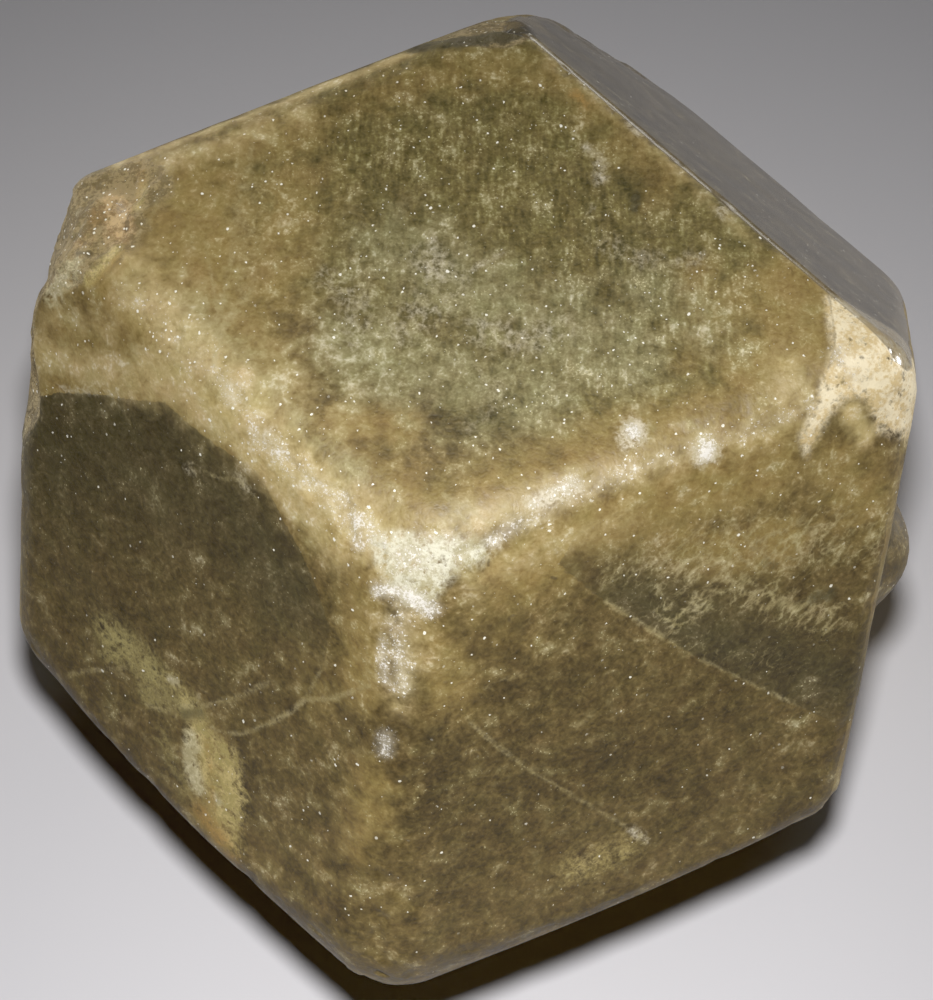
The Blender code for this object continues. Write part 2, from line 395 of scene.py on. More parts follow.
# where the stone changes, and where highlights and shade are painted: lines in mm above the resting face,
# how far each reaches and how strong it is
paint = {
    "honey": [
        ([(-18.2, 1.8, 56), (-15.9, -5, 56), (-12.1, -11, 55.5)], 5.5, 0.85),
        ([(-21, -6, 55), (-8, -14.7, 55), (-1, -17.5, 55)], 4.5, 1),
        ([(4.5, -15, 56), (12, -9.8, 56), (20, -6, 55)], 3.4, 0.85),
        ([(19.6, 2.2, 56), (20.5, -0.4, 56), (20.3, -3.3, 56), (18.6, -3.6, 56)], 3, 1),
        ([(-21, 3, 56), (-23, -3, 55)], 4.5, 0.8),
        ([(-29, -6, 42), (-24, -7, 50), (-18, -9, 53)], 4.5, 1),
        ([(-2.8, -20, 52.5), (-2.2, -22.5, 49.5), (-2, -24.5, 46.5)], 2.2, 0.75),
        ([(1.2, -22.5, 50.8), (2.4, -22.7, 50.1), (3.2, -24.1, 47.5)], 2.6, 0.6),
        ([(6, -17.8, 53), (10, -15, 53.5), (20, -8.5, 53)], 3.2, 0.9),
        ([(24, -6.5, 51), (26, -7, 48)], 3.6, 0.7),
        ([(-12, 4, 56), (-12, -4, 56)], 3.5, 0.6),
        ([(-20, 4, 56), (-12.7, 8.6, 56)], 3, 0.7),
        ([(-9, 11.5, 56), (-2.8, 14.8, 56), (4, 15, 56), (10.5, 8.5, 56)], 2.4, 0.55),
        ([(14, -1.6, 56), (17, 1, 56)], 2.6, 0.6),
        ([(-6.6, -22.5, 45.6), (-4.9, -24.9, 43.9)], 2.2, 0.45),
        ([(14.3, -13.6, 51.2), (18.1, -13, 48.8), (21.6, -11, 48)], 2.4, 0.9),
        ([(-8.1, -12.2, 55.9), (-5.1, -11.7, 56), (-2.1, -11.1, 56)], 1.8, 0.85),
        ([(-15.6, -6.6, 56), (-12.5, -6.1, 56)], 1.8, 0.85),
        ([(13.9, 2.4, 56), (14.2, 0, 56), (14.3, -3.7, 56)], 1.7, 0.6),
        ([(3.2, -20.3, 52.7), (5.2, -21.3, 50), (6.9, -20.6, 48.7)], 2.2, 0.35),
        ([(-12.8, -26, 34.5), (-12.3, -28.5, 31.5), (-11.8, -30, 29.8)], 2.4, 0.75),
        ([(-0.9, -28.8, 42.1), (-1.5, -32, 37.3)], 2.2, 0.65),
        ([(-7.6, -31.9, 31.3), (-1.7, -33.3, 35), (1.7, -34.8, 33.1)], 3, 0.3),
    ],
    # painted highlight: pale honey where the upper edges catch the lamp and light shows through them
    "edgeSheen": [
        ([(-19.7, -5.6, 55.4), (-12.9, -10.1, 55.6), (-7.6, -14.7, 55), (-1.6, -18.5, 54.7)], 2.2, 0.75),
        ([(-18.5, -8.7, 53.2), (-12.4, -12.2, 54.2)], 1.9, 0.85),
        ([(-12.4, -12.2, 54.2), (-8.1, -15.6, 53.6), (-4.6, -18.6, 53.2)], 1.6, 0.7),
        ([(-1.5, -21.9, 51), (-0.9, -24.5, 48)], 1.1, 0.3),
        ([(-27.2, -6.3, 48), (-23.1, -7.7, 50.1), (-18.5, -9.4, 52.2)], 1.8, 0.6),
        ([(-25.5, -6.2, 49.8), (-22, -7.6, 51.4)], 1.6, 0.35),
        ([(-10.3, -13.5, 54.6), (-8.6, -14.6, 54.6), (-6.8, -15.8, 54.6)], 1.1, 1),
        ([(1.4, -17.5, 55.4), (7.9, -13.6, 55.5), (15.7, -9.2, 55.1), (21.6, -6, 54.4)], 1.4, 0.4),
        ([(4.2, -19.3, 53.5), (8, -16.6, 53.9), (12.5, -13.8, 53.9)], 1.4, 0.42),
        ([(0.2, -21.4, 52.2), (1, -23.2, 50), (0, -25.3, 47.1)], 1.2, 0.4),
        ([(-15.5, -7, 55.9), (-11.1, -9.7, 56), (-6.8, -12.3, 56)], 3, 0.35),
        ([(-15.9, -10.4, 53.3), (-11.4, -13.4, 53.8), (-9.2, -15, 53.6), (-7.6, -16.6, 53)], 1.1, 0.8),
        ([(-24.3, -5.8, 51.5), (-21.6, -6.6, 53.1)], 1.6, 0.4),
        ([(24.3, -4.4, 54.1), (25.6, -4.9, 52.2)], 0.9, 0.8),
        ([(-23.9, 4.2, 55), (-15.9, 9.6, 55.3), (-7.3, 15.3, 55.3)], 0.7, 0.75),
        ([(-21, -3.5, 56), (-17, -5, 56)], 2.2, 0.45),
        ([(-20.6, 3.9, 55.7), (-16.7, 6.6, 55.9), (-12.7, 9.2, 56)], 1.2, 0.45),
        ([(-24.6, -3.3, 54.1), (-25.8, -4.5, 52), (-26.3, -5.2, 50.4)], 1.2, 0.45),
        ([(2, 15.8, 55.8), (10.5, 10, 55.9), (17, 5, 55.9)], 0.6, 0.35),
        ([(20, -2.8, 56), (20.8, -5, 55.4)], 1.6, 0.5),
    ],
    "haze": [
        ([(-4.5, 0.7, 56), (-1.1, -0.8, 56), (2.2, -1.7, 56), (6.2, -3.1, 56), (10, -3.8, 56)], 3.6, 0.9),
        ([(-6, -6.4, 56), (-2, -7.6, 56), (5, -7.6, 56)], 3.6, 0.8),
        ([(10.5, 0.6, 56), (14, -1.6, 56)], 2.6, 0.7),
        ([(-17, -6.5, 55.5), (-11, -11.5, 55.5), (-5, -15.5, 55.2)], 2.6, 0.9),
    ],
    # paler bruised stone along the worn edges, with a painted sheen of fine bright grains where they catch
    # the lamp
    "frostAndSheen": [
        ([(-20.5, -5, 55.2), (-18.9, -6.2, 55.4), (-14.4, -9.3, 55.5), (-12.1, -11, 55.5)], 1.5, 0.55),
        ([(-10.6, -12.4, 55.1), (-7.6, -14.9, 54.9), (-4.4, -16.9, 54.7), (-1.6, -18.3, 54.7)], 1.3, 0.7),
        ([(-4.5, -16.2, 55.2), (-3.7, -17.2, 54.8), (-3.2, -18.5, 54.2)], 0.8, 1),
        ([(-1.6, -20.6, 52.9), (-0.1, -20.8, 53.2), (1.6, -21.1, 52.5)], 0.8, 1.1),
        ([(-1.1, -22.8, 50.3), (-0.7, -24.5, 48.3)], 0.6, 0.9),
        ([(-0.3, -20.8, 53), (-0.1, -22.8, 50.7), (0.2, -24.6, 48.2)], 1.3, 0.68),
        ([(-2.6, -18.2, 54.6), (-0.4, -18.9, 54.5), (1.8, -18.6, 54.5)], 1.6, 0.7),
        ([(0, -17.9, 55.3), (2.4, -17.7, 55.2)], 0.9, 0.6),
        ([(4.5, -17.1, 54.9), (5.2, -16.4, 55.1), (6, -15.8, 55.2)], 0.7, 1),
        ([(6.7, -14.6, 55.7), (8.8, -13, 55.8)], 0.8, 0.75),
        ([(5.2, -16.5, 55), (8.8, -13.5, 55.5), (11.4, -11.9, 55.4)], 1, 0.6),
        ([(11.4, -11.7, 55.6), (15.9, -9, 55.5), (19.1, -7, 55.3), (22.5, -4.7, 55)], 0.9, 0.55),
        ([(-0.3, -27, 45), (-0.3, -27.6, 44.2)], 0.8, 0.9),
        ([(-24.6, 0.6, 54.4), (-24.9, -1, 54.2), (-25.2, -2.2, 54)], 0.9, 0.25),
        ([(-22.9, 1.6, 54.9), (-22.2, 0.4, 55.2)], 0.5, 0.6),
        ([(23, -1.5, 55.8), (24.5, -2.6, 55.2)], 1, 0.7),
        ([(11.7, -9, 56), (11.7, -9.1, 56)], 0.6, 1.4),
        ([(16.2, -9.1, 55.1), (16.2, -9.3, 55)], 0.6, 1.4),
    ],
    "pale": [
        ([(11.7, -9, 56), (11.7, -9.1, 56)], 0.9, 1.6),
        ([(11.4, -10, 56), (11.5, -10, 56)], 0.5, 0.8),
        ([(16.2, -9.1, 55.1), (16.2, -9.3, 55)], 0.8, 1.7),
        ([(6.6, -14.6, 55.6), (8.9, -13, 55.6)], 0.7, 0.8),
        ([(5.6, 10, 56), (6.2, 9.8, 56), (6.8, 8.8, 56), (6.8, 8, 56)], 0.6, 0.65),
        ([(6.8, 7.6, 56), (6.8, 6.4, 56), (6.5, 5.2, 56)], 0.3, 0.5),
        ([(-2.8, 2.4, 56), (-2.7, 1, 56), (-2.6, -0.6, 56)], 0.4, 0.55),
        ([(-2.7, -0.8, 56), (-1, -1, 56), (0.5, 0.5, 56), (1.9, 1.8, 56)], 0.35, 0.45),
        ([(-8.4, -2.2, 56), (-6.3, -3.2, 56), (-6.2, -6.2, 56)], 1.5, 0.38),
        ([(-2.6, 0.3, 56), (-1, -1.5, 56), (-3.4, -4.8, 56)], 1.8, 0.42),
        ([(1.4, -3.9, 56), (3.9, -4.2, 56), (6.2, -3.1, 56)], 1.6, 0.42),
        ([(1.9, -6.6, 56), (3.5, -8.4, 56), (2.1, -10.7, 56)], 1.3, 0.25),
        ([(7.5, 3.6, 56), (10.2, 2.6, 56), (13.8, 3.3, 56)], 1.2, 0.35),
        ([(-10.6, -13.1, 54.8), (-9.8, -12.9, 55.2)], 0.8, 0.6),
        ([(-13.2, -9.8, 55.7), (-12.6, -10.8, 55.4)], 0.8, 0.55),
        ([(1.5, 17.3, 55.4), (2.9, 16.2, 55.6)], 0.4, 0.6),
        ([(4.2, 15, 55.8), (5.6, 13.9, 55.8)], 0.4, 0.5),
        ([(8, 12.3, 55.8), (8.6, 11.8, 55.9)], 0.5, 0.6),
        ([(14.6, 7.2, 55.9), (15, 6.8, 55.9)], 0.6, 0.7),
        ([(-25.4, -8.2, 47.1), (-23.8, -8.6, 48), (-22.2, -9, 49.1), (-20.9, -9.4, 49.9)], 0.35, 0.55),
        ([(-15.4, -13.5, 49.6), (-14.9, -13.5, 50)], 0.6, 0.55),
        ([(-11.8, -14.5, 51.9), (-10.9, -15, 51.8)], 0.6, 0.5),
        ([(15.3, -26, 32.7), (16.3, -26.1, 31.4)], 0.5, 0.6),
        ([(-16, -22.5, 36.2), (-15.4, -22.6, 36.5)], 0.3, 0.8),
        ([(8.2, -16.2, 53.2), (8.4, -16.2, 53)], 0.35, 0.7),
        ([(4.7, -17.5, 54.6), (4.9, -17.2, 54.7)], 0.45, 0.8),
        ([(-25.4, 1.4, 54.2), (-25.6, 0.8, 54)], 0.4, 0.6),
        ([(-25.5, -3.6, 53.1), (-26, -4.1, 52.2)], 0.7, 0.5),
    ],
    "vein": [
        ([(-15.3, 7.6, 56), (-15.1, 3, 56), (-14.6, -3.3, 56), (-14.4, -7.5, 56)], 0.25, 0.6),
        ([(-16.6, -0.8, 56), (-15, -4.8, 56), (-13.8, -8.1, 56)], 0.2, 0.6),
        ([(-15.3, 4.6, 56), (-14.6, 1, 56), (-13.4, -5.2, 56)], 1.1, 0.4),
        ([(-12.9, -3, 56), (-13.3, -4.9, 56), (-14.1, -6.7, 56)], 0.2, 0.8),
        ([(-14.7, -6, 56), (-14.1, -7.2, 56), (-14.2, -8.1, 55.9), (-14.2, -9.1, 55.6)], 0.22, 0.9),
        ([(1.3, -15.1, 56.1), (2.9, -16.5, 55.6), (4.6, -18, 54.2)], 0.22, 0.8),
        ([(1.3, -15.2, 56), (2.5, -15.6, 55.9), (4.3, -16.2, 55.4)], 0.2, 0.8),
        ([(14.3, 5.1, 56), (14.4, 2.7, 56), (14.6, -0.1, 56), (14.8, -3, 56)], 0.2, 0.6),
        ([(11.6, -17.2, 48.8), (14.2, -17.3, 46.1), (15.5, -17.3, 44.8)], 0.22, 0.85),
        ([(15.5, -17.3, 44.8), (17.8, -17.3, 42.4), (22.6, -17.1, 38.1)], 0.2, 0.6),
        ([(22.6, -17.1, 38.1), (27.5, -16.4, 33.1)], 0.2, 0.75),
        ([(5.2, -23.3, 46.6), (6.3, -22.5, 46.6), (7.3, -21.9, 46.5)], 0.2, 0.6),
        ([(4.6, -25, 44.9), (5.9, -25.3, 43.1), (7.2, -25.5, 41.5), (8.8, -25.7, 39.6)], 0.22, 0.7),
        ([(8.8, -25.7, 39.6), (12.4, -25.9, 35.8), (16.5, -26.1, 31.4)], 0.22, 0.55),
        ([(-13.2, -24.1, 36.7), (-10.6, -24, 39.5), (-8.5, -23.6, 42.2)], 0.3, 0.6),
        ([(-24, -21.2, 30), (-21.9, -21.3, 32), (-19.5, -21.6, 34.1)], 0.25, 0.7),
        ([(-12.7, -25.1, 35.8), (-11.3, -25.6, 36.5), (-10.2, -25.7, 37.4), (-8.4, -25.5, 39.5)], 0.2, 0.8),
        ([(-8.4, -25.5, 39.5), (-7, -25.2, 41.5), (-6, -24.8, 43), (-3.9, -25, 44.9), (-1.7, -24.7, 47.4)],
         0.24, 0.85),
        ([(-6, -24.8, 43), (-5.2, -23.8, 45.2), (-4.4, -23, 47)], 0.22, 0.5),
        ([(-14.3, -13.7, 50.4), (-13.4, -14.1, 50.6), (-11.6, -14.6, 51.8), (-10.4, -15.6, 51.6)],
         0.2, 0.7),
        ([(-20.3, 2.5, 56), (-20.2, 0.8, 56), (-20.8, -1, 56)], 0.2, 0.6),
        ([(-17.7, -23.5, 33.1), (-16.6, -23.9, 33.7), (-15.2, -23.9, 35.1), (-13.3, -24.1, 36.7)],
         0.24, 0.65),
    ],
    "lace": [
        ([(15.8, -16.3, 45.9), (17.2, -15, 46.3), (18.3, -14, 46.7), (20, -12.9, 46.5)], 2.3, 0.85),
        ([(20, -12.9, 46.5), (21.7, -11.6, 46.7), (23.4, -10.4, 46.6), (27, -8.6, 45.8)], 2.4, 0.8),
        ([(18.2, -13.4, 47.7), (19.9, -13.6, 45.7), (21.5, -13.4, 44.3), (25.5, -12.7, 41.4)], 1.8, 0.95),
        ([(12, -15.5, 50.3), (17, -12.5, 49.8), (25, -9, 48)], 2.4, 0.7),
        ([(15.5, -14.6, 48.6), (18.1, -13, 48.3), (21.6, -11, 47.8), (25, -9.4, 47.5)], 2.2, 0.95),
        ([(14.2, -17.2, 46.4), (18, -16.6, 43), (24, -15, 38.5)], 1.5, 0.5),
        ([(7, -20, 50), (12, -18, 48), (20, -16, 43)], 2.2, 0.34),
        ([(9, -21.5, 45), (16, -20, 41)], 2.2, 0.12),
        ([(-12, -18.5, 45), (-9, -20.5, 45), (-6, -22.5, 45)], 2.4, 0.12),
    ],
    "green": [
        ([(-20.8, -19.9, 35.2), (-18.6, -21.2, 35.6), (-16.8, -22.6, 35.4)], 1.8, 0.85),
        ([(-17.8, -22.9, 33.9), (-15.9, -23.6, 34.8), (-13.9, -24.1, 36)], 1.2, 0.8),
        ([(-21.5, -20.6, 33.6), (-19.8, -21.2, 34.6)], 0.7, 0.8),
        ([(-16.3, -25.2, 32), (-15, -27, 31), (-14, -28.2, 30.2)], 1.2, 0.5),
    ],
    "straw": [
        ([(-13.3, -25.4, 34.7), (-12.6, -26.4, 34), (-12.2, -28, 32.6)], 1.5, 0.9),
        ([(-11.6, -26.8, 34.8), (-10.9, -28.4, 33.1), (-11.3, -29.6, 31.1)], 1.5, 1),
        ([(-11.4, -29.4, 31), (-10.5, -30.8, 29.9)], 1.2, 0.6),
        ([(-15.6, -22.7, 36.3), (-14.6, -23.6, 36)], 1, 0.5),
        ([(12.3, -28.8, 31.8), (14.8, -27.2, 31.5)], 1.9, 0.42),
        ([(-21.9, -2.2, 55.6), (-22.6, -3.2, 55.4), (-23.4, -4.1, 54.6)], 0.6, 0.85),
        ([(-21.5, 2.6, 55.3), (-21.3, 1, 55.6)], 0.6, 0.6),
        ([(22.4, 2, 55.8), (25, 1.5, 54.6)], 0.8, 0.4),
    ],
    "milk": [
        ([(-14, -25.6, 33.9), (-14.2, -26.8, 32.4), (-13.5, -27.9, 31.4)], 0.85, 1),
        ([(-12, -28.6, 31.9), (-11.8, -28.8, 31.7)], 0.45, 0.9),
        ([(-15.9, -22.5, 36.2), (-15.5, -22.7, 36.4)], 0.4, 0.9),
        ([(-24.6, -3, 54.2), (-25.5, -3.6, 53.1), (-26.2, -4.3, 51.9)], 1, 0.75),
        ([(-25.2, -0.8, 54), (-24.6, -0.2, 54.6)], 0.5, 0.4),
        ([(-29.1, -8.6, 41.2), (-29, -10.4, 39.6)], 0.6, 0.8),
    ],
    "rust": [
        ([(-12.8, -29.2, 30), (-11.6, -30.2, 29.6), (-10.6, -31.2, 28.9)], 1.3, 0.6),
        ([(-12.9, -25.8, 34.7), (-12.5, -27.1, 33.3), (-12.2, -28.4, 31.7), (-11.8, -30.1, 29.4)],
         0.45, 0.5),
        ([(-22.1, 4.3, 55.1), (-21.6, 2.9, 55.2), (-21.9, 1.3, 55.3), (-21.4, -1.1, 55.7)], 0.6, 0.4),
        ([(-21.4, -1.1, 55.7), (-21.5, -2.7, 55.9), (-22.3, -3.8, 55.4), (-23.3, -4.6, 54.2)], 0.5, 0.4),
        ([(-24.4, 0.6, 54.6), (-24, 0, 54.8)], 0.5, 0.6),
        ([(4.2, 13.8, 56), (5, 13.3, 56)], 0.6, 0.7),
        ([(25.2, -9, 48.2), (25.4, -9.1, 48)], 0.6, 0.5),
    ],
    "rosy": [
        ([(-23.2, 1.3, 54.8), (-22.6, 0.5, 55.1), (-22.2, -0.8, 55.4)], 1, 1.2),
        ([(-24, 0.9, 54.7), (-24.2, -0.6, 54.8)], 0.8, 0.4),
        ([(25.5, 0.6, 55.2), (27.2, -2.2, 53.7), (27.4, -3.4, 51.8)], 1.1, 0.7),
        ([(-24.9, -1.6, 54.2), (-24, -1.4, 54.8)], 0.6, 0.5),
    ],
    "crack": [
        ([(21.9, 2.4, 55.9), (22.5, 0.3, 56), (22.8, -1.4, 56.1), (22.6, -2.6, 55.9)], 0.15, 0.6),
        ([(8.2, -17.5, 51.8), (8.6, -17.4, 51.5)], 0.12, 0.9),
        ([(6.3, -19.8, 50.5), (6.1, -20.1, 50.3)], 0.13, 1),
        ([(5.2, -22.3, 48), (5, -22.5, 47.9)], 0.13, 1),
        ([(4.6, -17.9, 54.5), (4.6, -18.3, 53.9)], 0.12, 1),
        ([(8.7, -16.9, 52.2), (10.2, -17, 50.4), (11.4, -17.2, 49)], 0.16, 0.6),
        ([(-24.7, -2.3, 54.4), (-23.7, -2.4, 54.9), (-23.5, -3.4, 54.7)], 0.3, 0.7),
        ([(-21.8, 0.8, 55.3), (-21.7, -0.6, 55.5)], 0.25, 0.9),
        ([(-21.3, -1.2, 55.8), (-21.4, -2.9, 55.9), (-22.4, -4.2, 55.3), (-23.5, -4.9, 54)], 0.35, 0.5),
        ([(-24.9, 2.2, 54), (-24.4, 1.6, 54.3), (-24.8, 0.8, 54.1)], 0.25, 0.7),
        ([(-25.2, -0.8, 53.6), (-24.2, -1.1, 54.4), (-23.6, -1.6, 54.8)], 0.25, 0.7),
    ],
    "smoke": [
        ([(-27, -10, 44), (-24, -10, 47), (-17, -12, 50)], 10, 1),
        ([(-17, -12, 50), (-11, -16, 50), (-8, -19, 49)], 5.5, 1),
        ([(13, -16.6, 48.2), (18, -16.2, 43.6), (26.5, -15, 36.5)], 3.6, 1),
        ([(8.5, -16.6, 52), (12, -16, 50)], 2, 0.6),
    ],
    "shade": [
        ([(7, -23, 45), (13, -21, 42), (18, -20.5, 38)], 3.4, 1),
        ([(9.8, -25.4, 38.9), (13.8, -24.1, 37.1)], 2.8, 1.8),
        ([(0.8, -10.6, 56), (3.8, -10.1, 56)], 1.6, 1.2),
        ([(7.2, -12.4, 56), (7.6, -12.4, 56)], 1.1, 1.3),
        ([(-18.9, -6.7, 55.1), (-18.2, -6.9, 55.1)], 1.4, 1.1),
        ([(9.8, 8.8, 56), (10.3, 8.8, 56)], 1.5, 1.3),
        ([(3, -29, 40), (10, -28, 35)], 4, 1.5),
        ([(3, -24.5, 47), (5, -22, 49)], 1.6, 0.5),
    ],
    "streaks": [
        ([(-8, 8, 56), (0, 9, 56), (6, 4, 56), (12, 0, 56)], 8, 1),
        ([(-6, 0, 56), (4, -6, 56), (12, -5, 56)], 5, 0.8),
    ],
    "dark": [
        ([(-6.5, 16.2, 55), (-3.4, 16.9, 55.4), (-1.4, 17.6, 55.3), (0.2, 18.6, 54.8)], 1, 1),
        ([(9.2, 7.2, 56), (9.2, 6.2, 56)], 0.5, 0.7),
        ([(-5, -3.4, 56), (-4.3, -4.1, 56)], 0.9, 0.35),
        ([(24.5, -12.6, 43.5), (25.4, -12, 43.2)], 0.9, 0.7),
        ([(20.9, -12.2, 47.2), (21.6, -12.2, 46.6)], 0.8, 0.5),
        # painted shade down the right face towards the lumps
        ([(28.3, -5, 52), (28.6, -8, 46), (28.7, -11, 40)], 0.9, 0.5),
        ([(-14.8, -24.4, 35), (-13.6, -24.4, 36)], 0.8, 0.5),
    ],
}

# outlines on a face, drawn sharply: points in turn, for each face
outlines = {
    "zone": {
        "frontLeft": [(-30, -6, 40), (-25.4, -8.2, 46.6), (-23, -8.9, 48.5), (-20.7, -9.5, 49.9),
                      (-18.9, -10, 51.1), (-17.3, -10.3, 52.1), (-15.3, -11.7, 52.2), (-13.5, -12.8, 52.5),
                      (-11.4, -13.9, 53), (-10.4, -14.4, 53.3), (-9.5, -15.4, 52.7), (-8.4, -16.8, 51.9),
                      (-7, -18.4, 51.1), (-5.7, -20.1, 49.9), (-4.6, -21.9, 48.4), (-5, -24, 45),
                      (-8, -28, 38), (-20, -28, 26), (-36, -14, 26)],
        "frontRight": [(8.6, -16.9, 52.4), (11.6, -17.2, 48.8), (14.2, -17.3, 46.1), (17.8, -17.3, 42.4),
                       (22.6, -17.1, 38.1), (27.5, -16.4, 33.1), (32, -14, 32), (32, -6, 44), (20, -6, 56),
                       (10, -10, 56)],
    },
    # the corner nearest the lamp: pale worn stone and a painted highlight
    "chalkAndSheen": {
        "top": [(-2.6, -18.1, 54.7), (-0.9, -17.8, 55.3), (1.5, -17.7, 55.4), (3.3, -17.4, 55.2),
                (4.6, -17.4, 54.7), (4.1, -18.3, 54.3), (2.7, -19.2, 54.2), (2.1, -20.1, 53.5),
                (1.2, -21.1, 52.7), (0, -21, 52.7), (-1, -20.4, 53.3), (-1.9, -19.3, 54)],
    },
    "cream": {
        "top": [(21.8, 2.2, 55.9), (24, 2.8, 53.9), (29, 4.1, 48.5), (29.5, -0.2, 52.8), (29.5, -2.6, 52.6),
                (27.4, -3.9, 51.5), (26.2, -4.3, 52.5), (25.4, -3.5, 54.3), (24.2, -3.7, 54.9),
                (23.1, -4.8, 54.6), (22.1, -7, 53), (21.7, -6.6, 53.7), (22.2, -5.1, 54.9),
                (22.4, -3.7, 55.6), (22.7, -2.4, 55.9), (22.8, -1.4, 56.1), (22.3, 0.2, 56.1)],
    },
}

# where what is painted counts, in mm
painting = {
    "nearFace": 0.75,      # share of halfWidth, on its own face's side, above which an outline counts
    "edgeReach": 1.7,      # how far the honey of a hidden edge reaches: paler worn stone with a painted glow of light through the edge
    "brokenFrom": 0.25,    # how deep a break goes before it shows in full
    "polishedFace": "backRight",
}


def strokeValue(points, strokes):
    value = np.zeros(len(points))
    for line, reach, strength in strokes:
        value = np.maximum(value, strength * np.exp(-((lineDistance(points, line) / reach) ** 2)))
    return value


# mm inside (positive) or outside (negative) an outline drawn on a face
def insideDepth(points, outline, faceName):
    normal = np.array(crystal["faces"][faceName][0])
    side = np.array((1.0, 0, 0)) if faceName == "top" else np.cross((0, 0, 1), normal)
    side = side / np.linalg.norm(side)
    upward = np.cross(normal, side)
    flat = np.stack([points @ side, points @ upward], axis=1)
    corners = np.array([(np.dot(place, side), np.dot(place, upward)) for place in outline])
    crossings = np.zeros(len(points), dtype=int)
    nearest = np.full(len(points), np.inf)
    for start, end in zip(corners, np.roll(corners, -1, axis=0)):
        stretch = end - start
        share = np.clip((flat - start) @ stretch / (stretch @ stretch), 0, 1)
        nearest = np.minimum(nearest, np.linalg.norm(flat - start - share[:, None] * stretch, axis=1))
        spans = (flat[:, 1] > start[1]) != (flat[:, 1] > end[1])
        rise = stretch[1] if abs(stretch[1]) > tiny else tiny
        crossings += spans & (flat[:, 0] < start[0] + (flat[:, 1] - start[1]) / rise * stretch[0])
    return np.where(crossings % 2 == 1, nearest, -nearest)


# one attribute for each painted value
def paintCrystal():
    places = surfacePlaces - (0, 0, halfWidth)
    over = places @ faceNormals.T - faceDistances
    home = np.argmax(over, axis=1)
    ordered = np.sort(over, axis=1)
    values = {name: strokeValue(surfacePlaces, strokes) for name, strokes in paint.items()}
    for name, drawn in outlines.items():
        depth = np.full(len(places), -1.0)
        for faceName, outline in drawn.items():
            facing = places @ np.array(crystal["faces"][faceName][0]) > painting["nearFace"] * halfWidth
            inside = insideDepth(surfacePlaces, outline, faceName)
            depth = np.where(facing, np.maximum(depth, inside), depth)
        values[name] = np.clip(depth + 0.5, 0, 1)    # its border is 1 mm wide
    values["edge"] = np.exp(-(((ordered[:, -1] - ordered[:, -2]) / painting["edgeReach"]) ** 2))
    values["broken"] = smoothStep(brokenAmount / painting["brokenFrom"])
    values["smooth"] = (home == faceNames.index(painting["polishedFace"])).astype(float)
    drawnFaces = [faceNames.index(name) for name in crystal["drawnFaces"]]
    values["unseen"] = (~np.isin(home, drawnFaces)).astype(float)
    for name, value in values.items():
        made = crystalMesh.attributes.new(name, "FLOAT", "POINT")
        made.data.foreach_set("value", value.astype(np.float32))


paintCrystal()
print("crystal painted")

